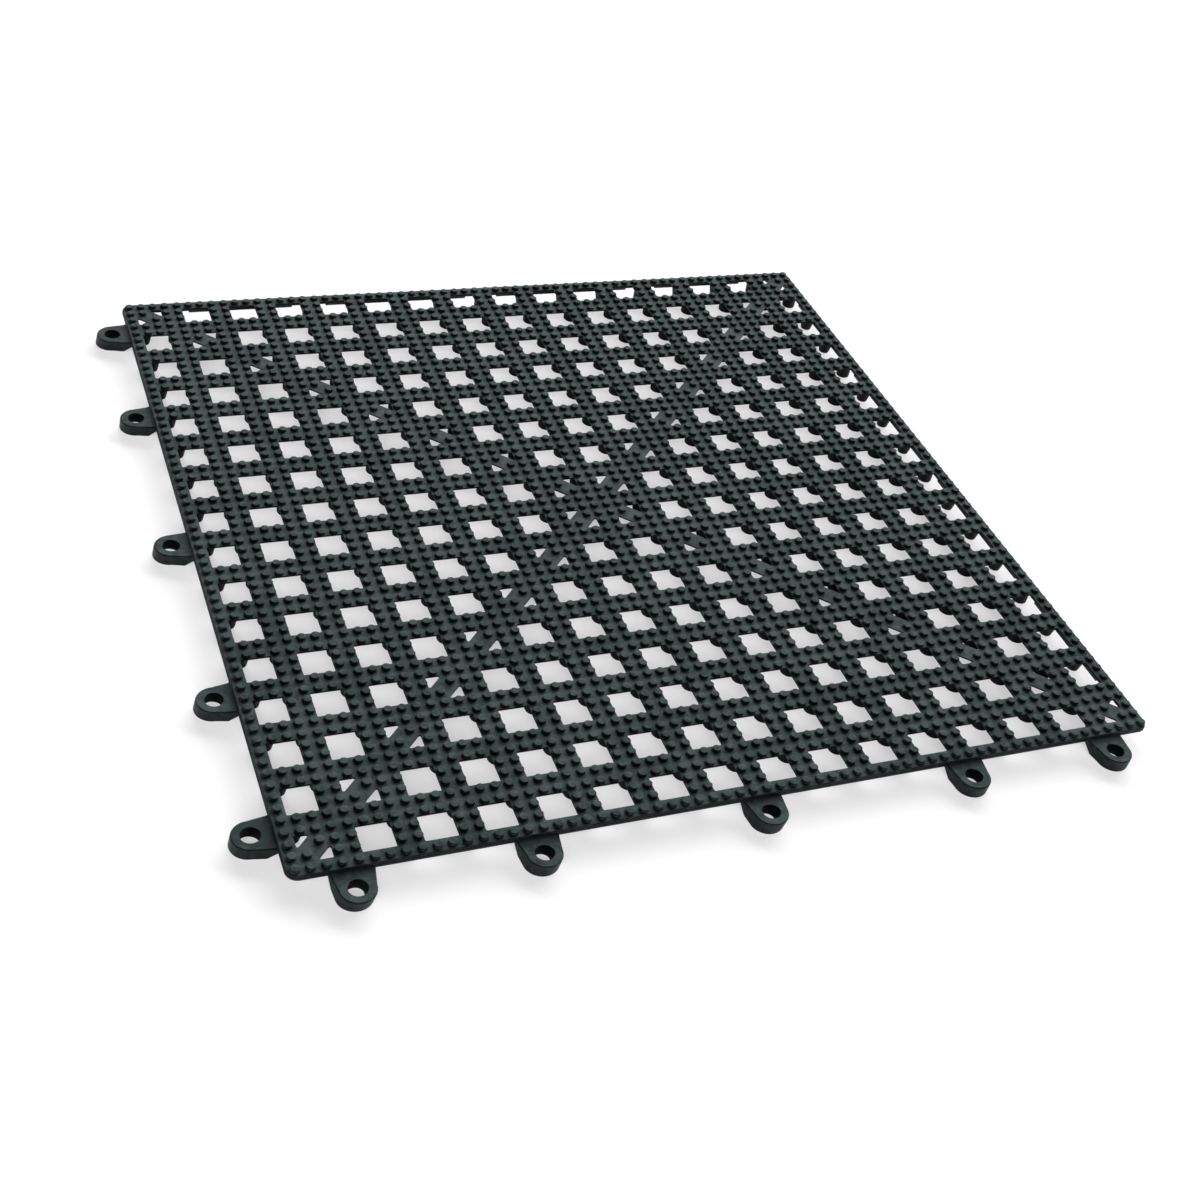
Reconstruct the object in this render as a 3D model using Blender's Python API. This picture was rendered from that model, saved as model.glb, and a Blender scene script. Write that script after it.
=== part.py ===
# Interlocking floor tile: a perforated deck on round feet with a square rim,
# ring loops on two sides and, on the other two, pegs that pass a neighbour's loops.
# Frame: +Z up, the floor at z = 0, origin on the floor under the tile's centre,
# +X to the right along the front edge, +Y to the back edge.
import math
from collections import namedtuple

import bmesh
import bpy

MM = 0.001

# Deck
CELLS = 16
PITCH = 20.3125 * MM
HALF = CELLS * PITCH / 2
HEIGHT = 6.3 * MM                   # floor to the deck's top face
DECK = 0.8 * MM                     # thickness between the holes
DECK_UNDER = HEIGHT - DECK
HOLE = 11.22 * MM                   # side of a square drain hole
DIAGONAL_BAR = 7.8 * MM             # width of the bar across a corner-to-corner cell
CORNER_RADIUS = 4.0 * MM
CORNER_STEPS = 3

# Rim
RIM_WIDTH = 5.3 * MM                # from the tile's edge to the border holes
RIM_SETBACK = 0.3 * MM              # the skirt's inner face behind the border holes' edge
RIM_DEPTH = 2.0 * MM                # skirt, measured down from the deck's top face
RIM_UNDER = HEIGHT - RIM_DEPTH
LEDGE = 0.2 * MM                    # how far the lower rim stands out
LEDGE_TALL = 1.1 * MM

# Feet, wider at the deck than at their ends
FOOT_SIDES = 5
FOOT_RADIUS = 3.2 * MM              # end of a foot under a crossing
FOOT_DRAFT = 0.3 * MM               # its root is this much wider
EDGE_FOOT = 6.2 * MM                # centre of an edge foot or a peg to the tile's edge
SLIM_RADIUS = 2.4 * MM              # end of an edge foot
SLIM_DRAFT = 1.2 * MM
PEG_RADIUS = 3.0 * MM               # end of a foot that passes a neighbour's loop
PEG_DRAFT = 0.1 * MM

# Loops
LOOP_LINES = (1, 4, 8, 12, 15)      # bar lines that carry a loop or a peg
JOINT_GAP = 0.7 * MM                # between the edges of two joined tiles
BORE_CLEARANCE = 0.2 * MM           # around a neighbour's peg in the loop's bore
BORE_RADIUS = PEG_RADIUS + BORE_CLEARANCE
BORE_SIDES = 10
BORE_REACH = EDGE_FOOT + JOINT_GAP  # bore centre to the tile's edge
LOOP_DROP = 1.5 * MM                # loop's top below the deck's top face
LOOP_TOP = HEIGHT - LOOP_DROP
LOOP_TALL = 4.4 * MM
LOOP_WALL = 3.0 * MM                # around the bore at the tip
LOOP_RADIUS = BORE_RADIUS + LOOP_WALL
LOOP_ROOT = 7.4 * MM                # half width where it leaves the rim
LOOP_ANCHOR = 2.6 * MM              # how far its top runs in under the rim
LOOP_HEEL = 3.0 * MM                # how far its underside starts outside the rim
LOOP_TIP_STEPS = 5

# Gates let a neighbour's loops in under the rim on the peg sides
GATE_CLEARANCE = 0.3 * MM
GATE_HALF = LOOP_ROOT + GATE_CLEARANCE
GATE_TOP = LOOP_TOP + GATE_CLEARANCE

OVERCUT = 1.0 * MM                  # how far a cutter runs past the faces it cuts
BURY = 0.3 * MM                     # how far joined solids run into each other
WELD = 0.01 * MM
LEVEL = math.radians(0.1)           # faces that turn less than this stay flat
SLIVER = 1e-6 * MM * MM             # twice the area of the smallest face

Colour = namedtuple("Colour", "r g b")
CHARCOAL = Colour(0.032, 0.038, 0.038)
ROUGHNESS = 0.5


def clear_objects():
    for item in list(bpy.data.objects):
        bpy.data.objects.remove(item, do_unlink=True)


def charcoal_pvc():
    pvc = bpy.data.materials.new("charcoal_pvc")
    pvc.use_nodes = True
    shader = pvc.node_tree.nodes["Principled BSDF"]
    shader.inputs["Base Color"].default_value = (*CHARCOAL, 1.0)
    shader.inputs["Roughness"].default_value = ROUGHNESS
    shader.inputs["Metallic"].default_value = 0.0
    return pvc


def add_loft(bm, levels):
    """Closed body through counter-clockwise outlines, each at its height, from the bottom up."""
    rings = [[bm.verts.new((x, y, z)) for x, y in outline] for outline, z in levels]
    bm.faces.new(list(reversed(rings[0])))
    bm.faces.new(rings[-1])
    for low, high in zip(rings, rings[1:]):
        for i in range(len(low)):
            j = (i + 1) % len(low)
            bm.faces.new((low[i], low[j], high[j], high[i]))


def solid(name, lofts):
    """One mesh object from several lofts."""
    bm = bmesh.new()
    for levels in lofts:
        add_loft(bm, levels)
    mesh = bpy.data.meshes.new(name)
    bm.to_mesh(mesh)
    bm.free()
    item = bpy.data.objects.new(name, mesh)
    bpy.context.scene.collection.objects.link(item)
    return item


def box(x0, y0, x1, y1):
    return [(x0, y0), (x1, y0), (x1, y1), (x0, y1)]


def round_outline(cx, cy, radius, sides):
    """Polygon of the same area as the circle, with a flat across +X."""
    step = 2 * math.pi / sides
    reach = radius * math.sqrt(step / math.sin(step))
    return [(cx + reach * math.cos(step * (i + 0.5)), cy + reach * math.sin(step * (i + 0.5)))
            for i in range(sides)]


def rounded_square(half, radius):
    points = []
    for sx, sy, turn in ((1, 1, 0), (-1, 1, 1), (-1, -1, 2), (1, -1, 3)):
        for i in range(CORNER_STEPS + 1):
            angle = (turn + i / CORNER_STEPS) * math.pi / 2
            points.append((sx * (half - radius) + radius * math.cos(angle),
                           sy * (half - radius) + radius * math.sin(angle)))
    return points


def line_at(index):
    """Place of a bar line from the tile's centre."""
    return index * PITCH - HALF


def hole_span(index):
    """Both edges of a column's holes; the border holes stop at the rim."""
    middle, limit = line_at(index + 0.5), HALF - RIM_WIDTH
    return max(middle - HOLE / 2, -limit), min(middle + HOLE / 2, limit)


def hole_outlines():
    """Square holes; cells on the two long diagonals keep a bar between two triangles."""
    cut = DIAGONAL_BAR / math.sqrt(2)
    outlines = []
    for i in range(CELLS):
        for j in range(CELLS):
            (x0, x1), (y0, y1) = hole_span(i), hole_span(j)
            cx, cy = line_at(i + 0.5), line_at(j + 0.5)
            if i == j:
                slip = cy - cx
                outlines.append([(x0, y1), (x0, x0 + slip + cut), (y1 - slip - cut, y1)])
                outlines.append([(x1, y0), (x1, x1 + slip - cut), (y0 - slip + cut, y0)])
            elif i + j == CELLS - 1:
                total = cx + cy
                outlines.append([(x1, y1), (total + cut - y1, y1), (x1, total + cut - x1)])
                outlines.append([(x0, y0), (total - cut - y0, y0), (x0, total - cut - x0)])
            else:
                outlines.append(box(x0, y0, x1, y1))
    return outlines


def foot_centres():
    """A foot under every crossing; near the edge on every bar line a peg or else a slim foot."""
    lines = [line_at(i) for i in range(1, CELLS)]
    edge = HALF - EDGE_FOOT
    crossings = [(x, y) for x in lines for y in lines]
    border = [(x, y) for x in lines for y in (-edge, edge)]
    border += [(y, x) for x, y in border]
    pegs = [(line_at(CELLS - i), edge) for i in LOOP_LINES]
    pegs += [(y, x) for x, y in pegs]
    return crossings, [centre for centre in border if centre not in pegs], pegs


def loop_outline(start):
    """Loop on the front edge, its bar line along x = 0, with its flanks starting this far outside the edge."""
    lean = (LOOP_ROOT - LOOP_RADIUS) / BORE_REACH
    wide = LOOP_ROOT - lean * start
    turns = [i * math.pi / LOOP_TIP_STEPS for i in range(LOOP_TIP_STEPS + 1)]
    tip = [(-LOOP_RADIUS * math.cos(t), -HALF - BORE_REACH - LOOP_RADIUS * math.sin(t)) for t in turns]
    return [(-wide, -HALF - start)] + tip + [(wide, -HALF - start)]


def on_loop_sides(levels):
    """Copies of a front loft at each loop line, on the front and the left side."""
    copies = []
    for index in LOOP_LINES:
        at = line_at(index)
        copies.append([([(x + at, y) for x, y in outline], z) for outline, z in levels])
        copies.append([([(y, x + at) for x, y in reversed(outline)], z) for outline, z in levels])
    return copies


def on_peg_sides(levels):
    """The same lofts turned half round, on the back and the right side."""
    return [[([(-x, -y) for x, y in outline], z) for outline, z in copy] for copy in on_loop_sides(levels)]


def combine(target, tool, operation):
    """Applies an exact boolean and removes the tool."""
    tool.hide_render = True
    tool.display_type = "WIRE"
    step = target.modifiers.new(tool.name, "BOOLEAN")
    step.operation = operation
    step.solver = "EXACT"
    step.object = tool
    view = bpy.context.evaluated_depsgraph_get()
    mesh = bpy.data.meshes.new_from_object(target.evaluated_get(view))
    target.modifiers.remove(step)
    old = target.data
    target.data = mesh
    bpy.data.meshes.remove(old)
    bpy.data.objects.remove(tool, do_unlink=True)


def rim_body():
    """Rounded square slab as deep as the rim, its lower part standing proud."""
    top = rounded_square(HALF, CORNER_RADIUS)
    low = rounded_square(HALF + LEDGE, CORNER_RADIUS + LEDGE)
    ledge_top = RIM_UNDER + LEDGE_TALL
    return solid("tile", [[(low, RIM_UNDER), (low, ledge_top), (top, ledge_top), (top, HEIGHT)]])


def add_loops(body):
    levels = [(loop_outline(LOOP_HEEL), LOOP_TOP - LOOP_TALL), (loop_outline(-LOOP_ANCHOR), LOOP_TOP)]
    combine(body, solid("loops", on_loop_sides(levels)), "UNION")
    bore = round_outline(0.0, -HALF - BORE_REACH, BORE_RADIUS, BORE_SIDES)
    bores = on_loop_sides([(bore, -OVERCUT), (bore, LOOP_TOP + OVERCUT)])
    combine(body, solid("bores", bores), "DIFFERENCE")


def hollow_under(body):
    """Opens the underside between the skirts and the gates through them."""
    inside = HALF - RIM_WIDTH + RIM_SETBACK
    hollow = box(-inside, -inside, inside, inside)
    combine(body, solid("hollow", [[(hollow, -OVERCUT), (hollow, DECK_UNDER)]]), "DIFFERENCE")
    gate = box(-GATE_HALF, -HALF - LEDGE - OVERCUT, GATE_HALF, -inside + OVERCUT)
    gates = on_peg_sides([(gate, -OVERCUT), (gate, GATE_TOP)])
    combine(body, solid("gates", gates), "DIFFERENCE")


def cut_holes(body):
    cutters = [[(outline, DECK_UNDER - OVERCUT / 2), (outline, HEIGHT + OVERCUT)] for outline in hole_outlines()]
    combine(body, solid("holes", cutters), "DIFFERENCE")


def add_feet(body):
    feet = []
    sizes = (FOOT_RADIUS, FOOT_DRAFT), (SLIM_RADIUS, SLIM_DRAFT), (PEG_RADIUS, PEG_DRAFT)
    for centres, (radius, draft) in zip(foot_centres(), sizes):
        for x, y in centres:
            end = round_outline(x, y, radius, FOOT_SIDES)
            root = round_outline(x, y, radius + draft, FOOT_SIDES)
            feet.append([(end, 0.0), (root, DECK_UNDER + BURY)])
    combine(body, solid("feet", feet), "UNION")


def neighbours(vert):
    return {edge.other_vert(vert) for edge in vert.link_edges}


def is_spare(vert, end):
    """True where a point can slide to the end of its edge without turning or folding a face."""
    if len(neighbours(vert) & neighbours(end)) != 2:
        return False
    for face in vert.link_faces:
        if end in face.verts:
            continue
        a, b, c = (v.co for v in face.verts)
        before = (b - a).cross(c - a)
        a, b, c = (end.co if v is vert else v.co for v in face.verts)
        after = (b - a).cross(c - a)
        if after.length < SLIVER or before.angle(after, math.pi) > LEVEL:
            return False
    return True


def drop_spare_points(bm):
    """Removes the points that lie inside a flat face or along a straight edge."""
    for vert in list(bm.verts):
        ends = [edge.other_vert(vert) for edge in vert.link_edges]
        end = next((each for each in ends if is_spare(vert, each)), None)
        if end:
            bmesh.ops.weld_verts(bm, targetmap={vert: end})


def finish(body):
    bm = bmesh.new()
    bm.from_mesh(body.data)
    bmesh.ops.remove_doubles(bm, verts=bm.verts, dist=WELD)
    bmesh.ops.triangulate(bm, faces=bm.faces)
    drop_spare_points(bm)
    bmesh.ops.recalc_face_normals(bm, faces=bm.faces)
    bm.to_mesh(body.data)
    bm.free()
    body.data.materials.clear()
    body.data.materials.append(charcoal_pvc())


def main():
    clear_objects()
    body = rim_body()
    add_loops(body)
    hollow_under(body)
    cut_holes(body)
    add_feet(body)
    finish(body)


main()
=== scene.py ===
import math

import bmesh
import bpy
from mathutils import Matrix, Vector


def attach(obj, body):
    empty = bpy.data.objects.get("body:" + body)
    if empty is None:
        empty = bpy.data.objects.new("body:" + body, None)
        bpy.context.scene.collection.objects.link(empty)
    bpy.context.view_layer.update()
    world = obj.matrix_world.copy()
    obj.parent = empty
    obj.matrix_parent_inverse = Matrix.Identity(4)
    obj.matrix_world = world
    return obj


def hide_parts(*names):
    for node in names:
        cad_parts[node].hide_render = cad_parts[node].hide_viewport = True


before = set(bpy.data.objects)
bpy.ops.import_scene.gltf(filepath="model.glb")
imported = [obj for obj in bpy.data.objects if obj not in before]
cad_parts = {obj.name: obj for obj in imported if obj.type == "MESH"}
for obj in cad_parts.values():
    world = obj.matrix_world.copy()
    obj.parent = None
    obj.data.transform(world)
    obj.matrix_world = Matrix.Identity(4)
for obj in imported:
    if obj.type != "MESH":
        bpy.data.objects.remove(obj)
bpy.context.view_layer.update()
mm = 0.001
sharpAngle = 50                     # degrees, an edge that turns more than this stays crisp
flatWeight = 60                     # how much more the wide faces count where they meet a rounding
print("floor tile: packed model loaded")


# Small helpers for node trees

def feed(tree, value, socket):
    # a socket is linked, anything else is set as the socket's own value
    if isinstance(value, bpy.types.NodeSocket):
        tree.links.new(value, socket)
    else:
        socket.default_value = value


def calc(tree, operation, *values):
    made = tree.nodes.new("ShaderNodeMath")
    made.operation = operation
    for value, socket in zip(values, made.inputs):
        feed(tree, value, socket)
    return made.outputs[0]


def same(tree, a, b):
    # whole numbers that agree
    return calc(tree, "COMPARE", a, b, 0.5)


def both(tree, a, b):
    return calc(tree, "MULTIPLY", a, b)


def either(tree, a, b):
    return calc(tree, "MAXIMUM", a, b)


def inverse(tree, flag):
    return calc(tree, "SUBTRACT", 1.0, flag)


def add(tree, kind, values=None, **settings):
    # one node, its settings as attributes and its inputs by name or number
    made = tree.nodes.new(kind)
    for name, setting in settings.items():
        setattr(made, name, setting)
    for name, value in (values or {}).items():
        feed(tree, value, made.inputs[name])
    return made


def startTree(name, inputs):
    # a geometry tree with named inputs, and a node that gives them
    tree = bpy.data.node_groups.new(name, "GeometryNodeTree")
    tree.interface.new_socket("Geometry", in_out="OUTPUT", socket_type="NodeSocketGeometry")
    kinds = {float: "NodeSocketFloat", int: "NodeSocketInt", bpy.types.Object: "NodeSocketObject",
             bpy.types.Material: "NodeSocketMaterial"}
    for label, value in inputs.items():
        tree.interface.new_socket(label, in_out="INPUT", socket_type=kinds[type(value)])
    return tree, tree.nodes.new("NodeGroupInput").outputs


def gridPoints(tree, columns, rows):
    # one point for each place of a grid, with the numbers of its column and row
    line = add(tree, "GeometryNodeMeshLine", {"Count": calc(tree, "MULTIPLY", columns, rows)}).outputs[0]
    number = add(tree, "GeometryNodeInputIndex").outputs[0]
    column = calc(tree, "MODULO", number, columns)
    row = calc(tree, "FLOOR", calc(tree, "DIVIDE", number, columns))
    return line, column, row


def movePoints(tree, points, x, y, z=0.0):
    place = add(tree, "ShaderNodeCombineXYZ", {"X": x, "Y": y, "Z": z}).outputs[0]
    return add(tree, "GeometryNodeSetPosition", {"Geometry": points, "Position": place}).outputs[0]


def putUnits(tree, points, unit, values):
    # one copy of the unit on each point
    shape = add(tree, "GeometryNodeObjectInfo", {"Object": unit}).outputs["Geometry"]
    return add(tree, "GeometryNodeInstanceOnPoints", {"Points": points, "Instance": shape, **values}).outputs[0]


def quarterTurns(tree, turns):
    return add(tree, "ShaderNodeCombineXYZ", {"Z": calc(tree, "MULTIPLY", turns, math.pi / 2)}).outputs[0]


def endTree(tree, instances, material, weld=None):
    # the pattern becomes real geometry with its material
    shape = add(tree, "GeometryNodeRealizeInstances", {0: instances}).outputs[0]
    if weld:
        shape = add(tree, "GeometryNodeMergeByDistance", {"Geometry": shape, "Distance": weld}).outputs[0]
    painted = add(tree, "GeometryNodeSetMaterial", {"Geometry": shape, "Material": material}).outputs[0]
    tree.links.new(painted, tree.nodes.new("NodeGroupOutput").inputs[0])


def runTree(name, tree, values, finish=None):
    # lets the tree build on an empty mesh and keeps the result as a plain mesh
    host = bpy.data.objects.new(name + "Host", bpy.data.meshes.new(name + "Host"))
    bpy.context.scene.collection.objects.link(host)
    builder = host.modifiers.new("build", "NODES")
    builder.node_group = tree
    for item in tree.interface.items_tree:
        if item.in_out == "INPUT":
            builder[item.identifier] = values[item.name]
    if finish:
        finish(host)
    mesh = asBuilt(host)
    bpy.data.objects.remove(host)
    mesh.name = name
    return showMesh(name, mesh)


def asBuilt(piece):
    # the mesh with its modifiers applied
    view = bpy.context.evaluated_depsgraph_get()
    return bpy.data.meshes.new_from_object(piece.evaluated_get(view), preserve_all_data_layers=True, depsgraph=view)


def applyModifiers(piece):
    finished = asBuilt(piece)
    piece.modifiers.clear()
    piece.data = finished


def showMesh(name, mesh):
    piece = bpy.data.objects.new(name, mesh)
    bpy.context.scene.collection.objects.link(piece)
    return piece


def keepFlatsFlat(piece):
    # the wide faces keep their own direction and the roundings blend into them
    flat = piece.modifiers.new("flats", "WEIGHTED_NORMAL")
    flat.mode = "FACE_AREA"
    flat.weight = flatWeight
    flat.keep_sharp = True


def plainMesh(bm, name):
    mesh = bpy.data.meshes.new(name)
    bm.to_mesh(mesh)
    bm.free()
    return mesh


def toMesh(bm, name):
    # outward faces, smooth over the roundings and crisp over the other edges
    bmesh.ops.recalc_face_normals(bm, faces=bm.faces)
    for face in bm.faces:
        face.smooth = True
    for edge in bm.edges:
        edge.smooth = len(edge.link_faces) < 2 or edge.calc_face_angle(0) < math.radians(sharpAngle)
    return plainMesh(bm, name)


# Flat outlines and the walls that grow from them, all in millimetres

def arc(cx, cy, radius, start, sweep, steps):
    return [(cx + radius * math.cos(start + sweep * k / steps), cy + radius * math.sin(start + sweep * k / steps))
            for k in range(steps + 1)]


def moveEdges(points, outward):
    # a convex outline whose edges move outwards, each by its own distance
    lines = []
    for k, (x, y) in enumerate(points):
        nx, ny = points[(k + 1) % len(points)]
        length = math.hypot(nx - x, ny - y)
        ax, ay = (ny - y) / length, (x - nx) / length
        lines.append((ax, ay, ax * x + ay * y + outward[k]))
    moved = []
    for (a, b, c), (d, e, f) in zip([lines[-1]] + lines[:-1], lines):
        under = a * e - b * d
        moved.append(((c * e - b * f) / under, (a * f - c * d) / under))
    return moved


def roundCorners(points, radius, steps):
    made = []
    for k, here in enumerate(points):
        here, before, after = Vector(here), Vector(points[k - 1]), Vector(points[(k + 1) % len(points)])
        back, on = (before - here).normalized(), (after - here).normalized()
        half = back.angle(on) / 2
        centre = here + (back + on).normalized() * radius / math.sin(half)
        first = here + back * radius / math.tan(half) - centre
        made += arc(centre.x, centre.y, radius, math.atan2(first.y, first.x), math.pi - 2 * half, steps)
    return made


def circle(cx, cy, radius, sides):
    step = math.tau / sides
    return arc(cx, cy, radius, 0, math.tau - step, sides - 1)


def ring(bm, points, z):
    return [bm.verts.new((x * mm, y * mm, z * mm)) for x, y in points]


def bridge(bm, rings, closed=True):
    # a wall from each ring to the next
    for low, high in zip(rings, rings[1:]):
        for k in range(len(low) - (0 if closed else 1)):
            n = (k + 1) % len(low)
            bm.faces.new((low[k], low[n], high[n], high[k]))


def closedShape(bm, rings):
    bridge(bm, rings)
    bm.faces.new(list(reversed(rings[0])))
    bm.faces.new(rings[-1])


def fillFlat(bm, outlines):
    # a flat face with holes in it
    edges = []
    for outline in outlines:
        for k, point in enumerate(outline):
            pair = (point, outline[(k + 1) % len(outline)])
            edges.append(bm.edges.get(pair) or bm.edges.new(pair))
    bmesh.ops.triangle_fill(bm, use_beauty=True, edges=edges)


# The moulded compound: charcoal PVC with a faint green, a fine grain and a cloudy, slightly scuffed surface

pvcFinish = {
    "deep": (0.018, 0.031, 0.030),
    "pale": (0.052, 0.070, 0.068),
    "scuff": (0.060, 0.078, 0.077),
    "cloudScale": 60.0,         # clouds per metre
    "blotchScale": 420.0,
    "mottleGain": 3.4,          # how hard clouds and blotches swing between deep and pale
    "mottleLevel": -2.9,
    "grainScale": 2600.0,
    "grainDepth": 0.00003,
    "grainStrength": 0.5,
    "roughLow": 0.4,
    "roughHigh": 0.6,
    "specular": 0.3,
    "scuffedStuds": 0.03,       # share of studs with a paler top
    "scuffPatches": 200.0,      # patches per metre that share one random value
    "scuffHeight": 7.2,         # only what stands higher than this, in mm
}
# the feet are the same compound, made darker and less glossy here: painted shade for the dark under the deck
shadedFootLook = {**pvcFinish, "deep": (0.003, 0.006, 0.006), "pale": (0.010, 0.015, 0.015), "specular": 0.2}


def mouldedPvc(name, look):
    material = bpy.data.materials.new(name)
    material.use_nodes = True
    tree = material.node_tree
    shader = tree.nodes["Principled BSDF"]
    place = add(tree, "ShaderNodeTexCoord").outputs["Object"]

    def noise(scale, detail, roughness):
        return add(tree, "ShaderNodeTexNoise", {"Vector": place, "Scale": look[scale], "Detail": detail,
                                                "Roughness": roughness}).outputs["Fac"]

    def blend(factor, under, over):
        return add(tree, "ShaderNodeMix", {"Factor": factor, 6: under, 7: over}, data_type="RGBA").outputs[2]

    cloud = noise("cloudScale", 5.0, 0.6)
    blotch = noise("blotchScale", 4.0, 0.6)
    grain = noise("grainScale", 2.0, 0.5)
    mottle = calc(tree, "MULTIPLY_ADD", calc(tree, "ADD", cloud, blotch), look["mottleGain"], look["mottleLevel"])
    colour = blend(mottle, (*look["deep"], 1), (*look["pale"], 1))
    # scuffed stud tops: one random value for each small patch of the plan
    flat = add(tree, "ShaderNodeVectorMath", {0: place, 1: (1.0, 1.0, 0.0)}, operation="MULTIPLY").outputs[0]
    patch = add(tree, "ShaderNodeTexVoronoi", {"Vector": flat, "Scale": look["scuffPatches"]}).outputs["Color"]
    picked = calc(tree, "LESS_THAN", patch, look["scuffedStuds"])
    height = add(tree, "ShaderNodeSeparateXYZ", {0: place}).outputs["Z"]
    onTop = calc(tree, "GREATER_THAN", height, look["scuffHeight"] * mm)
    rubbed = calc(tree, "MULTIPLY", calc(tree, "MULTIPLY", picked, onTop), blotch)
    colour = blend(rubbed, colour, (*look["scuff"], 1))
    rough = add(tree, "ShaderNodeMapRange", {"Value": cloud, "From Min": 0.3, "From Max": 0.7,
                                             "To Min": look["roughLow"], "To Max": look["roughHigh"]}).outputs[0]
    bump = add(tree, "ShaderNodeBump", {"Height": grain, "Strength": look["grainStrength"],
                                        "Distance": look["grainDepth"]}).outputs[0]
    feed(tree, colour, shader.inputs["Base Color"])
    feed(tree, rough, shader.inputs["Roughness"])
    feed(tree, bump, shader.inputs["Normal"])
    shader.inputs["Specular IOR Level"].default_value = look["specular"]
    return material


charcoalPvc = mouldedPvc("charcoalPvc", pvcFinish)
# a darker copy of the compound for the feet, painted shade
undersidePvc = mouldedPvc("undersidePvc", shadedFootLook)
print("floor tile: compound mixed")


# Deck: four kinds of grid cell, repeated over the square and welded into one moulding

deck = {
    "cells": 16,
    "pitch": 20.3125,
    "height": 6.3,
    "thick": 0.8,
    "hole": 11.22,
    "holeCorner": 0.45,         # radius of a hole's corners
    "holeCornerSteps": 2,
    "diagonalBar": 7.8,
    "edgeRound": 0.2,           # top edge of the holes
    "wallTall": 0.35,           # straight part of a hole's wall
    "underCut": 0.45,           # the wall leans back this far below it
    "rimWidth": 5.3,
    "rimHoleRound": 0.4,        # top edge of a border hole towards the rim
    "rimDepth": 2.0,
    "rimRound": 0.35,
    "ledge": 0.2,
    "ledgeTall": 1.1,
    "ledgeRound": 0.1,
    "underRound": 0.2,
    "cornerRadius": 4.0,
    "cornerLeast": 0.01,        # what is left of it on the rim's inside
    "cornerSteps": 8,
    "skirtGap": 0.02,           # keeps the skirt clear of the border holes' walls
    "weld": 0.001,
}
chamfer = 0.293                     # where a rounding's middle point lies, as a share of its radius
half = deck["cells"] * deck["pitch"] / 2
reach = deck["pitch"] / 2           # cell centre to cell edge
top = deck["height"]
underDeck = top - deck["thick"]
rimUnder = top - deck["rimDepth"]


def rimProfile():
    # distance in from the edge and height, from the deck's top down and in under the rim
    r, q, u = deck["rimRound"], deck["ledgeRound"], deck["underRound"]
    ledgeTop, out = rimUnder + deck["ledgeTall"], deck["ledge"]
    inner = deck["rimWidth"] - deck["skirtGap"]
    return [(r, top), (chamfer * r, top - chamfer * r), (0, top - r), (0, ledgeTop), (q - out, ledgeTop),
            (-out, ledgeTop - q), (-out, rimUnder + u), (chamfer * u - out, rimUnder + chamfer * u),
            (u - out, rimUnder), (inner, rimUnder), (inner, underDeck)]


def holeWall(bm, outline, towardsRim):
    # one hole through the deck; its sides towards the rim drop straight to the skirt
    soft = [deck["rimHoleRound"] if rim else deck["edgeRound"] for rim in towardsRim]
    lean = [0.0 if rim else deck["underCut"] for rim in towardsRim]
    edge = top - deck["edgeRound"]
    levels = [(soft, 1, top), (soft, chamfer, top - chamfer * deck["edgeRound"]), (soft, 0, edge),
              (lean, 0, edge - deck["wallTall"]), (lean, 1, underDeck)]
    rings = []
    for distances, share, z in levels:
        moved = moveEdges(outline, [d * share for d in distances])
        rings.append(ring(bm, roundCorners(moved, deck["holeCorner"], deck["holeCornerSteps"]), z))
    bridge(bm, rings)
    return rings[0], rings[-1]


def deckCell(name, rims, diagonal):
    # rims: 0 inside the grid, 1 along the front edge, 2 in the front left corner
    bm = bmesh.new()
    limit = deck["rimWidth"] - reach
    x1 = y1 = deck["hole"] / 2
    x0, y0 = (limit if rims == 2 else -x1), (limit if rims else -y1)
    cut = deck["diagonalBar"] / math.sqrt(2)
    onFront, onLeft = rims > 0, rims == 2
    if diagonal:
        holes = [([(x0, y1), (x0, x0 + cut), (y1 - cut, y1)], [onLeft, False, False]),
                 ([(x1, y0), (x1, x1 - cut), (y0 + cut, y0)], [False, False, onFront])]
    else:
        holes = [([(x0, y0), (x1, y0), (x1, y1), (x0, y1)], [onFront, False, False, onLeft])]
    walls = [holeWall(bm, outline, rim) for outline, rim in holes]

    def edgeLine(inset):
        if rims == 1:
            return [(-reach, inset - reach), (reach, inset - reach)]
        r, least = deck["cornerRadius"], deck["cornerLeast"]
        bend = max(r - inset, least)
        centre = r - reach if inset < r else inset - reach + least
        turn = arc(centre, centre, bend, math.pi, math.pi / 2, deck["cornerSteps"])
        return [(inset - reach, reach)] + turn + [(reach, inset - reach)]

    if rims:
        lines = [ring(bm, edgeLine(inset), z) for inset, z in rimProfile()]
        bridge(bm, lines, closed=False)
        others = [(reach, reach), (-reach, reach)] if rims == 1 else [(reach, reach)]
        upper, lower = lines[0] + ring(bm, others, top), lines[-1] + ring(bm, others, underDeck)
    else:
        corners = [(-reach, -reach), (reach, -reach), (reach, reach), (-reach, reach)]
        upper, lower = ring(bm, corners, top), ring(bm, corners, underDeck)
    fillFlat(bm, [upper] + [wall[0] for wall in walls])
    fillFlat(bm, [lower] + [wall[1] for wall in walls])
    return showMesh(name, plainMesh(bm, name))


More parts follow.
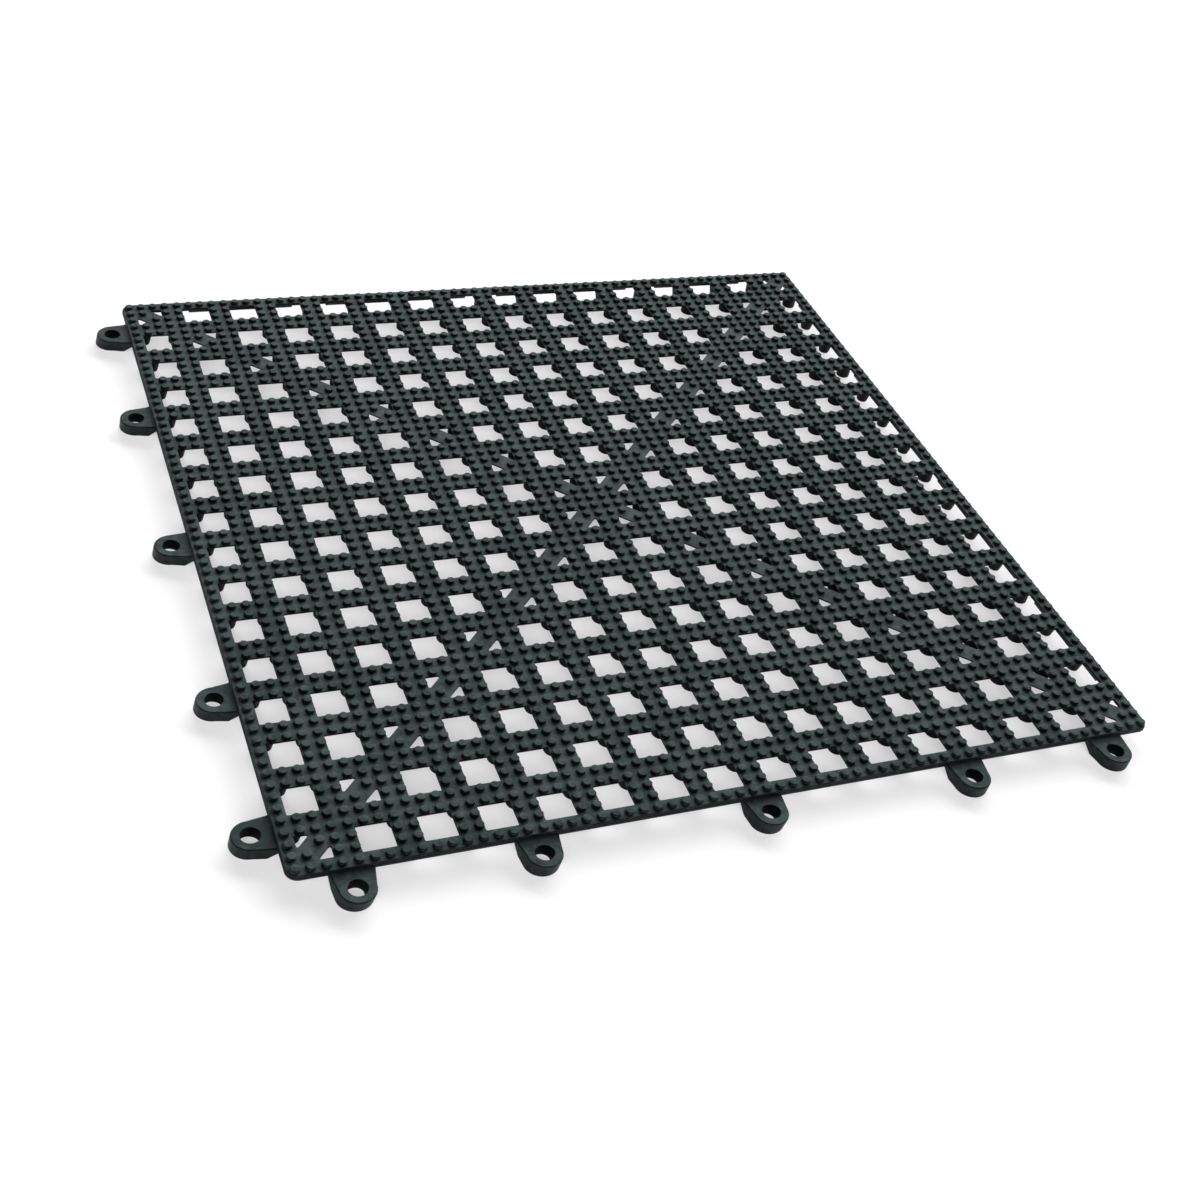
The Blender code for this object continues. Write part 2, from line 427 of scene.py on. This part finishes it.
def deckTree(inputs):
    tree, given = startTree("deckPattern", inputs)
    cells, pitch = given["Cells"], given["Pitch"]
    line, column, row = gridPoints(tree, cells, cells)
    last = calc(tree, "SUBTRACT", cells, 1.0)
    middle = calc(tree, "MULTIPLY", last, 0.5)
    x, y = (calc(tree, "MULTIPLY", calc(tree, "SUBTRACT", index, middle), pitch) for index in (column, row))
    points = movePoints(tree, line, x, y)
    onLeft, onRight = same(tree, column, 0.0), same(tree, column, last)
    onFront, onBack = same(tree, row, 0.0), same(tree, row, last)
    onSide, onEnd = either(tree, onLeft, onRight), either(tree, onFront, onBack)
    corner, border = both(tree, onSide, onEnd), either(tree, onSide, onEnd)
    rising, falling = same(tree, column, row), same(tree, calc(tree, "ADD", column, row), last)
    diagonal, inside = either(tree, rising, falling), inverse(tree, border)

    def turnOut(first, second, third):
        # quarter turns, anticlockwise, that bring a unit's rim to the outside
        twoOrThree = calc(tree, "ADD", calc(tree, "MULTIPLY", second, 2.0), calc(tree, "MULTIPLY", third, 3.0))
        return calc(tree, "ADD", first, twoOrThree)

    frontRight = both(tree, onRight, inverse(tree, onBack))
    groups = [("Plain cell", both(tree, inside, inverse(tree, diagonal)), 0.0),
              ("Diagonal cell", both(tree, inside, diagonal), falling),
              ("Border cell", both(tree, border, inverse(tree, corner)), turnOut(onRight, onBack, onLeft)),
              ("Corner cell", corner, turnOut(frontRight, both(tree, onRight, onBack), both(tree, onLeft, onBack)))]
    joined = tree.nodes.new("GeometryNodeJoinGeometry")
    for label, chosen, turns in groups:
        put = putUnits(tree, points, given[label], {"Selection": chosen, "Rotation": quarterTurns(tree, turns)})
        tree.links.new(put, joined.inputs[0])
    endTree(tree, joined.outputs[0], given["Material"], weld=given["Weld"])
    return tree


def makeDeck():
    units = {"Plain cell": deckCell("plainCell", 0, False), "Diagonal cell": deckCell("diagonalCell", 0, True),
             "Border cell": deckCell("borderCell", 1, False), "Corner cell": deckCell("cornerCell", 2, True)}
    inputs = {"Cells": deck["cells"], "Pitch": deck["pitch"] * mm, "Weld": deck["weld"] * mm,
              "Material": charcoalPvc, **units}
    piece = runTree("deckGrid", deckTree(inputs), inputs)
    for unit in units.values():
        bpy.data.objects.remove(unit)
    return piece


deckGrid = makeDeck()
print("floor tile: deck grid", len(deckGrid.data.polygons), "faces")


# Gates: low openings under the rim on the back and right, where a neighbour's loops come in

gates = {
    "lines": (1, 4, 8, 12, 15),     # bar lines, counted from the front left corner
    "halfWide": 7.7,
    "top": 5.1,
    "inside": 6.6,
    "outside": 1.5,
    "below": 3.0,
}


def cutGates(piece):
    bm = bmesh.new()
    for number in gates["lines"]:
        at = number * deck["pitch"] - half
        near, far = half - gates["inside"], half + gates["outside"]
        first, last = at - gates["halfWide"], at + gates["halfWide"]
        back = [(first, near), (last, near), (last, far), (first, far)]
        right = [(y, x) for x, y in reversed(back)]
        for corners in (back, right):
            closedShape(bm, [ring(bm, corners, gates[level]) for level in ("below", "top")])
    cutter = showMesh("gateCutter", toMesh(bm, "gateCutter"))
    cut = piece.modifiers.new("gates", "BOOLEAN")
    cut.operation = "DIFFERENCE"
    cut.solver = "EXACT"
    cut.object = cutter
    return cutter


def finishDeck(piece):
    bm = bmesh.new()
    bm.from_mesh(piece.data)
    mesh = toMesh(bm, "deckGrid")
    mesh.materials.append(charcoalPvc)
    piece.data = mesh
    cutter = cutGates(piece)
    keepFlatsFlat(piece)
    applyModifiers(piece)
    bpy.data.objects.remove(cutter)


finishDeck(deckGrid)
print("floor tile: gates cut")


# Studs: twelve round each hole and two more on every diagonal bar

studs = {
    "near": 0.123,              # offsets from the cell's middle, in pitches
    "far": 0.3688,
    "radius": 1.58,
    "tall": 1.15,
    "sink": 0.1,
    "foot": 0.22,               # how much wider it meets the deck
    "round": 0.32,
    "roundMid": (0.35, 0.25),   # the rounding's middle point, inwards and down, as shares of it
    "off": (0.24, -0.14),       # how far the top stands off the foot along x and y
    "sides": 14,
    "sizeChange": 0.02,
    "seed": 7,
}


def studUnit():
    bm = bmesh.new()
    r, q, h = studs["radius"], studs["round"], studs["tall"]
    (offX, offY), (inwards, down) = studs["off"], studs["roundMid"]
    levels = [(r + studs["foot"], -studs["sink"]), (r, h - q), (r - inwards * q, h - down * q), (r - q, h)]
    rings = [ring(bm, circle(offX * z / h, offY * z / h, radius, studs["sides"]), z) for radius, z in levels]
    bridge(bm, rings)
    bm.faces.new(rings[-1])
    return showMesh("studUnit", toMesh(bm, "studUnit"))


def studTree(inputs):
    tree, given = startTree("studPattern", inputs)
    across = calc(tree, "MULTIPLY", given["Cells"], 4.0)
    rows = calc(tree, "MULTIPLY", given["Rows"], 4.0)
    line, countX, rowInPiece = gridPoints(tree, across, rows)
    countY = calc(tree, "ADD", rowInPiece, calc(tree, "MULTIPLY", given["First row"], 4.0))
    gap = calc(tree, "SUBTRACT", given["Near"], given["Far"])

    def alongAxis(index):
        # cell, place in the cell (0 to 3), whether it is one of the two inner places, and distance from the middle
        cell = calc(tree, "FLOOR", calc(tree, "DIVIDE", index, 4.0))
        spot = calc(tree, "SUBTRACT", index, calc(tree, "MULTIPLY", cell, 4.0))
        fromMiddle = calc(tree, "SUBTRACT", spot, 1.5)
        side = calc(tree, "SIGN", fromMiddle)
        inner = calc(tree, "LESS_THAN", calc(tree, "ABSOLUTE", fromMiddle), 1.0)
        offset = calc(tree, "ADD", given["Far"], calc(tree, "MULTIPLY", inner, gap))
        middle = calc(tree, "SUBTRACT", calc(tree, "ADD", cell, 0.5), calc(tree, "MULTIPLY", given["Cells"], 0.5))
        where = calc(tree, "ADD", middle, calc(tree, "MULTIPLY", side, offset))
        return cell, spot, inner, calc(tree, "MULTIPLY", where, given["Pitch"])

    column, spotX, innerX, x = alongAxis(countX)
    row, spotY, innerY, y = alongAxis(countY)
    # a cell's four middle places are over its hole, and only those on a diagonal bar stay
    rising = both(tree, same(tree, column, row), same(tree, spotX, spotY))
    lastCell = calc(tree, "SUBTRACT", given["Cells"], 1.0)
    falling = both(tree, same(tree, calc(tree, "ADD", column, row), lastCell),
                   same(tree, calc(tree, "ADD", spotX, spotY), 3.0))
    overBars = inverse(tree, both(tree, innerX, innerY))
    kept = either(tree, overBars, either(tree, rising, falling))
    points = movePoints(tree, line, x, y, given["Deck top"])
    low, high = (calc(tree, way, 1.0, given["Size change"]) for way in ("SUBTRACT", "ADD"))
    size = add(tree, "FunctionNodeRandomValue", {2: low, 3: high, "Seed": given["Seed"]}, data_type="FLOAT").outputs[1]
    put = putUnits(tree, points, given["Stud"], {"Selection": kept, "Scale": size})
    endTree(tree, put, given["Material"])
    return tree


def makeStuds():
    unit = studUnit()
    halfRows = deck["cells"] // 2
    inputs = {"Cells": deck["cells"], "Rows": halfRows, "First row": 0, "Pitch": deck["pitch"] * mm,
              "Near": studs["near"], "Far": studs["far"], "Deck top": top * mm, "Size change": studs["sizeChange"],
              "Seed": studs["seed"], "Stud": unit, "Material": charcoalPvc}
    tree = studTree(inputs)
    pieces = []
    for name, firstRow in (("studsFront", 0), ("studsBack", halfRows)):
        inputs["First row"] = firstRow
        pieces.append(runTree(name, tree, inputs, finish=keepFlatsFlat))
    bpy.data.objects.remove(unit)
    return pieces


studPieces = makeStuds()
print("floor tile: studs", sum(len(piece.data.polygons) for piece in studPieces), "faces")


# Feet: one under each crossing, slim ones near the edge, and pegs on the back and right for a neighbour's loops

feet = {
    # radius at the end, how much wider the root is, and how far the end stands off the root along x and y
    "crossing": (3.55, 0.2, -0.25, -0.35),
    "slim": (2.4, 1.2, 0.0, 0.0),
    "peg": (3.0, 0.1, 0.0, 0.0),
    "pegLines": (1, 4, 8, 12, 15),
    "edge": 6.2,                # how far inside the tile's edge the outer ones stand
    "sides": 20,
    "round": 0.3,
    "roundMid": 0.3,            # the rounding's middle point, as a share of it
    "sink": 0.3,                # how far they go up into the deck
}


def footUnit(name, size):
    bm = bmesh.new()
    (r, draft, offX, offY), q, h = size, feet["round"], underDeck + feet["sink"]
    mid = feet["roundMid"] * q
    rings = []
    for radius, z in [(r - q, 0), (r - mid, mid), (r, q), (r + draft, h)]:
        rings.append(ring(bm, circle(offX * (1 - z / h), offY * (1 - z / h), radius, feet["sides"]), z))
    closedShape(bm, rings)
    return showMesh(name, toMesh(bm, name))


def footTree(inputs):
    tree, given = startTree("footPattern", inputs)
    lines = calc(tree, "ADD", given["Cells"], 1.0)
    line, column, row = gridPoints(tree, lines, lines)
    halfCount = calc(tree, "MULTIPLY", given["Cells"], 0.5)
    limit = calc(tree, "SUBTRACT", calc(tree, "MULTIPLY", halfCount, given["Pitch"]), given["Edge foot"])

    def alongAxis(index):
        # the outermost bar lines give way to the row near the edge
        steps = calc(tree, "SUBTRACT", index, halfCount)
        outer = same(tree, calc(tree, "ABSOLUTE", steps), halfCount)
        last = same(tree, steps, halfCount)
        free = calc(tree, "MULTIPLY", steps, given["Pitch"])
        where = calc(tree, "MAXIMUM", calc(tree, "MULTIPLY", limit, -1.0), calc(tree, "MINIMUM", limit, free))
        onPegLine = 0.0
        for k in range(len(feet["pegLines"])):
            onPegLine = either(tree, onPegLine, same(tree, index, given[f"Line {k + 1}"]))
        return outer, last, onPegLine, where

    outerX, lastX, pegX, x = alongAxis(column)
    outerY, lastY, pegY, y = alongAxis(row)
    notCorner = inverse(tree, both(tree, outerX, outerY))
    outer = either(tree, outerX, outerY)
    peg = either(tree, both(tree, lastX, pegY), both(tree, lastY, pegX))
    points = movePoints(tree, line, x, y)
    joined = tree.nodes.new("GeometryNodeJoinGeometry")
    groups = [("Crossing foot", inverse(tree, outer)), ("Slim foot", calc(tree, "SUBTRACT", outer, peg)), ("Peg", peg)]
    for label, chosen in groups:
        put = putUnits(tree, points, given[label], {"Selection": both(tree, chosen, notCorner)})
        tree.links.new(put, joined.inputs[0])
    endTree(tree, joined.outputs[0], given["Material"])
    return tree


def makeFeet():
    units = {"Crossing foot": footUnit("crossingFoot", feet["crossing"]),
             "Slim foot": footUnit("slimFoot", feet["slim"]), "Peg": footUnit("peg", feet["peg"])}
    # the feet take the darker copy of the compound, painted shade
    inputs = {"Cells": deck["cells"], "Pitch": deck["pitch"] * mm, "Edge foot": feet["edge"] * mm,
              "Material": undersidePvc, **units}
    inputs.update({f"Line {k + 1}": number for k, number in enumerate(feet["pegLines"])})
    piece = runTree("roundFeet", footTree(inputs), inputs)
    for unit in units.values():
        bpy.data.objects.remove(unit)
    return piece


roundFeet = makeFeet()
print("floor tile: feet", len(roundFeet.data.polygons), "faces")


# Loops: five on the front and five on the left, that drop over a neighbour's pegs; soft, so each is bent a little

loops = {
    "lines": (1, 4, 8, 12, 15),
    "top": 4.8,
    "bottom": 0.4,
    "rootHalf": 7.4,            # half the width at the rim
    "tipRadius": 6.2,
    "boreReach": 6.9,           # bore centre to the tile's edge
    "boreRadius": 3.28,
    "boreRound": 0.08,
    "anchor": 2.6,              # how far it reaches in under the rim
    "heel": 3.0,                # where the underside starts to rise
    "topRound": 0.5,
    "topRoundMid": (0.13, 0.5),     # a point of the rounding, inwards and down, and again the other way round
    "lowRound": 0.25,
    "lowRoundMid": 0.3,
    "rootRise": 0.9,            # the hollow curve from the top up to the rim
    "rootRun": 3.4,
    "rootSteps": 9,
    "rootLift": 0.004,          # keeps it off the top's own plane
    "rootDeep": 0.3,            # how far its ends go into the loop
    "rootBehind": 1.0,          # and in behind the rim's face
    "tipSteps": 24,
    "boreSides": 32,
    "boreOver": 2.0,            # the drill passes both faces by this
    # how far each tip is bent along the edge and outwards, at its top and at its underside
    "frontBends": ((0.0, 0.2, -0.9, -0.3), (0.4, -0.5, -0.6, -0.4), (0.8, -0.6, -0.5, -0.5), (0.3, -0.1, -0.4, 0.2),
                   (0.9, 0.0, 0.2, 0.4)),
    "leftBends": ((0.2, 0.2, 0.2, 0.8), (0.1, -0.3, 0.3, 0.4), (0.8, -0.3, 0.9, 0.4), (0.3, -0.4, 0.4, 0.0),
                  (0.7, -0.2, 0.8, 0.6)),
}


def rootCurve(lean):
    # a strip across the loop's top that rises to the rim like a hollow moulding
    bm = bmesh.new()
    run, rise, steps = loops["rootRun"], loops["rootRise"], loops["rootSteps"]
    low, behind = loops["top"] - loops["rootDeep"], -loops["rootBehind"]
    profile = [(run, low)]
    for k in range(steps + 1):
        turn = math.pi / 2 * k / steps
        profile.append((run * (1 - math.sin(turn)), loops["top"] + loops["rootLift"] + rise * (1 - math.cos(turn))))
    profile += [(behind, loops["top"] + rise), (behind, low)]
    ends = []
    for side in (-1, 1):
        line = []
        for out, z in profile:
            wide = loops["rootHalf"] - lean * out - loops["topRound"]
            line.append(bm.verts.new((side * wide * mm, (-half - out) * mm, z * mm)))
        ends.append(line)
    closedShape(bm, ends)
    return showMesh("loopRoot", toMesh(bm, "loopRoot"))


def loopBody(lean, middle):
    # outline of straight sides and a round tip, with the underside cut to rise towards the rim
    bm = bmesh.new()
    start = loops["anchor"]
    wide = loops["rootHalf"] + lean * start
    low, high, q, u = loops["bottom"], loops["top"], loops["topRound"], loops["lowRound"]
    less, more = (share * q for share in loops["topRoundMid"])
    mid = loops["lowRoundMid"] * u
    levels = [(u, low), (mid, low + mid), (0, low + u),
              (0, high - q), (less, high - more), (more, high - less), (q, high)]
    rings = []
    for inset, z in levels:
        tip = arc(0, middle, loops["tipRadius"] - inset, math.pi, math.pi, loops["tipSteps"])
        rings.append(ring(bm, [(inset - wide, start - half)] + tip + [(wide - inset, start - half)], z))
    closedShape(bm, rings)
    run, rise = loops["heel"] + start, high - low
    cut = bmesh.ops.bisect_plane(bm, geom=bm.verts[:] + bm.edges[:] + bm.faces[:], dist=1e-7, clear_outer=True,
                                 plane_co=(0, (-half - loops["heel"]) * mm, low * mm), plane_no=(0, rise, -run))
    bmesh.ops.contextual_create(bm, geom=[item for item in cut["geom_cut"] if isinstance(item, bmesh.types.BMEdge)])
    return showMesh("loopUnit", toMesh(bm, "loopUnit"))


def loopBore(middle):
    bm = bmesh.new()
    outline = circle(0, middle, loops["boreRadius"], loops["boreSides"])
    heights = loops["bottom"] - loops["boreOver"], loops["top"] + loops["boreOver"]
    closedShape(bm, [ring(bm, outline, z) for z in heights])
    return showMesh("loopBore", toMesh(bm, "loopBore"))


def loopUnit():
    # the front loop on the tile's middle line
    lean = (loops["rootHalf"] - loops["tipRadius"]) / loops["boreReach"]
    middle = -half - loops["boreReach"]
    body, bore, root = loopBody(lean, middle), loopBore(middle), rootCurve(lean)
    drill = body.modifiers.new("bore", "BOOLEAN")
    drill.operation = "DIFFERENCE"
    drill.solver = "EXACT"
    drill.object = bore
    soften = body.modifiers.new("soften", "BEVEL")
    soften.width = loops["boreRound"] * mm
    soften.segments = 3
    soften.limit_method = "ANGLE"
    soften.angle_limit = math.radians(sharpAngle)
    bm = bmesh.new()
    bm.from_mesh(asBuilt(body))
    bm.from_mesh(root.data)
    for used in (body, bore, root):
        bpy.data.objects.remove(used)
    return showMesh("loopUnit", plainMesh(bm, "loopUnit"))


def bendLoops(piece):
    # nothing moves at the rim, everything from the bore outwards moves fully
    lines = [number * deck["pitch"] - half for number in loops["lines"]]
    for point in piece.data.vertices:
        x, y, z = (value / mm for value in point.co)
        onFront = y < x
        along, out = (x, -y - half) if onFront else (y, -x - half)
        nearest = min(range(len(lines)), key=lambda k: abs(lines[k] - along))
        topAlong, topOut, lowAlong, lowOut = loops["frontBends" if onFront else "leftBends"][nearest]
        share = max(0.0, min(1.0, out / loops["boreReach"]))
        rise = (z - loops["bottom"]) / (loops["top"] - loops["bottom"])
        along = share * (lowAlong + (topAlong - lowAlong) * rise) * mm
        out = share * (lowOut + (topOut - lowOut) * rise) * mm
        point.co += Vector((along, -out, 0)) if onFront else Vector((-out, along, 0))


def loopTree(inputs, count):
    tree, given = startTree("loopPattern", inputs)
    line, spot, onLeft = gridPoints(tree, count, 2)
    barLine = 0.0
    for k in range(count):
        barLine = calc(tree, "ADD", barLine, both(tree, same(tree, spot, k), given[f"Line {k + 1}"]))
    fromMiddle = calc(tree, "SUBTRACT", barLine, calc(tree, "MULTIPLY", given["Cells"], 0.5))
    along = calc(tree, "MULTIPLY", fromMiddle, given["Pitch"])
    points = movePoints(tree, line, both(tree, along, inverse(tree, onLeft)), both(tree, along, onLeft))
    turned = quarterTurns(tree, calc(tree, "MULTIPLY", onLeft, -1.0))
    put = putUnits(tree, points, given["Loop"], {"Rotation": turned})
    endTree(tree, put, given["Material"])
    return tree


def makeLoops():
    unit = loopUnit()
    inputs = {"Cells": deck["cells"], "Pitch": deck["pitch"] * mm, "Loop": unit, "Material": charcoalPvc}
    inputs.update({f"Line {k + 1}": number for k, number in enumerate(loops["lines"])})
    piece = runTree("ringLoops", loopTree(inputs, len(loops["lines"])), inputs)
    bpy.data.objects.remove(unit)
    bendLoops(piece)
    for face in piece.data.polygons:
        face.use_smooth = True
    piece.data.set_sharp_from_angle(angle=math.radians(sharpAngle))
    keepFlatsFlat(piece)
    applyModifiers(piece)
    return piece


ringLoops = makeLoops()
print("floor tile: loops", len(ringLoops.data.polygons), "faces")


# Everything rides on the one body

for piece in [deckGrid, *studPieces, roundFeet, ringLoops]:
    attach(piece, "root")
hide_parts("tile")


# Studio: white floor, soft light from the back right, camera as in the photograph

studio = {
    "floorSize": 6.0,
    "floorGlow": 0.49,          # what shadows leave alone of the white that is seen
    "floorWhite": 0.36,         # what lights and shadows make of it
    "shadowTint": (1.0, 0.985, 0.992, 1.0),
    "floorBounce": 0.52,        # what the floor gives back to the tile
    "keyPower": 960.0,          # a wide low panel behind the tile, for soft shadows
    "keySize": (8.0, 2.2),
    "keyPlace": (2.5, 3.38, 1.75),
    "fillStrength": 3.8,        # lights the floor alone
    "fillAngle": 60.0,          # how wide a patch of sky it stands for
    "fillFrom": (-0.3, -0.7, 0.46),
    "wallTowards": (0.42, 0.76, 0.52),
    "wallFrom": 0.6,            # the bright wall behind the tile fades out between these
    "wallTo": 0.87,
    "wallBright": 0.75,
    "darkSide": 0.1,
    "skyStrength": 0.2,         # how much of it lights the tile, beside what the gloss mirrors
    "lens": 50.73,
    "sensor": 36.0,
    "clip": (0.01, 20.0),       # nearest and furthest that the camera sees, in metres
    "cameraPlace": (-0.25197, -0.48616, 0.41578),
    "cameraTurn": (49.297, -9.228, -20.527),
}


def makeFloor():
    bm = bmesh.new()
    bmesh.ops.create_grid(bm, x_segments=1, y_segments=1, size=studio["floorSize"] / 2)
    floor = showMesh("studioFloor", toMesh(bm, "studioFloor"))
    material = bpy.data.materials.new("studioFloor")
    material.use_nodes = True
    tree = material.node_tree
    tree.nodes.remove(tree.nodes["Principled BSDF"])
    rays = add(tree, "ShaderNodeLightPath").outputs
    seen = calc(tree, "MAXIMUM", rays["Is Camera Ray"], rays["Is Transmission Ray"])
    white, bounce = studio["floorWhite"], studio["floorBounce"]
    glow = add(tree, "ShaderNodeEmission", {"Color": studio["shadowTint"],
                                            "Strength": studio["floorGlow"]}).outputs[0]
    lit = add(tree, "ShaderNodeBsdfDiffuse", {"Color": (white, white, white, 1)}).outputs[0]
    dull = add(tree, "ShaderNodeBsdfDiffuse", {"Color": (bounce, bounce, bounce, 1)}).outputs[0]
    shown = add(tree, "ShaderNodeAddShader", {0: glow, 1: lit}).outputs[0]
    mixed = add(tree, "ShaderNodeMixShader", {0: seen, 1: dull, 2: shown}).outputs[0]
    tree.links.new(mixed, tree.nodes["Material Output"].inputs["Surface"])
    floor.data.materials.append(material)
    return floor


def hangLamp(light, place):
    # a lamp that shines from this side towards the tile's middle
    lamp = bpy.data.objects.new(light.name, light)
    lamp.rotation_mode = "QUATERNION"
    lamp.rotation_quaternion = Vector(place).to_track_quat("Z", "Y")
    bpy.context.scene.collection.objects.link(lamp)
    return lamp


def makeFill(floor):
    # a soft lamp over the viewer that only brightens the floor round and under the tile
    fill = bpy.data.lights.new("floorFill", "SUN")
    fill.energy = studio["fillStrength"]
    fill.angle = math.radians(studio["fillAngle"])
    lamp = hangLamp(fill, studio["fillFrom"])
    receivers = bpy.data.collections.new("floorOnly")
    receivers.objects.link(floor)
    lamp.light_linking.receiver_collection = receivers


def makeLights():
    key = bpy.data.lights.new("keyLight", "AREA")
    key.energy = studio["keyPower"]
    key.shape = "RECTANGLE"
    key.size, key.size_y = studio["keySize"]
    lamp = hangLamp(key, studio["keyPlace"])
    lamp.location = studio["keyPlace"]
    lamp.visible_glossy = False
    world = bpy.data.worlds.new("studioSky")
    world.use_nodes = True
    tree = world.node_tree
    sky = tree.nodes["Background"]
    rays = add(tree, "ShaderNodeLightPath").outputs
    mirrored = calc(tree, "MAXIMUM", rays["Is Glossy Ray"], rays["Is Transmission Ray"])
    way = add(tree, "ShaderNodeTexCoord").outputs["Generated"]
    towards = Vector(studio["wallTowards"]).normalized()
    facing = add(tree, "ShaderNodeVectorMath", {0: way, 1: towards}, operation="DOT_PRODUCT").outputs["Value"]
    wall = add(tree, "ShaderNodeMapRange", {"Value": facing, "From Min": studio["wallFrom"],
                                            "From Max": studio["wallTo"], "To Min": studio["darkSide"],
                                            "To Max": studio["wallBright"]}).outputs[0]
    share = add(tree, "ShaderNodeMix", {"Factor": mirrored, 2: studio["skyStrength"], 3: 1.0},
                data_type="FLOAT").outputs[0]
    strength = calc(tree, "MAXIMUM", calc(tree, "MULTIPLY", wall, share), rays["Is Camera Ray"])
    sky.inputs["Color"].default_value = (1, 1, 1, 1)
    feed(tree, strength, sky.inputs["Strength"])
    bpy.context.scene.world = world


def makeCamera():
    lens = bpy.data.cameras.new("photoView")
    lens.lens = studio["lens"]
    lens.sensor_width = studio["sensor"]
    lens.clip_start, lens.clip_end = studio["clip"]
    camera = bpy.data.objects.new("photoView", lens)
    camera.location = studio["cameraPlace"]
    camera.rotation_euler = [math.radians(angle) for angle in studio["cameraTurn"]]
    bpy.context.scene.collection.objects.link(camera)
    bpy.context.scene.camera = camera


makeFill(makeFloor())
makeLights()
makeCamera()
bpy.context.scene.view_settings.view_transform = "Standard"
print("floor tile: studio ready")
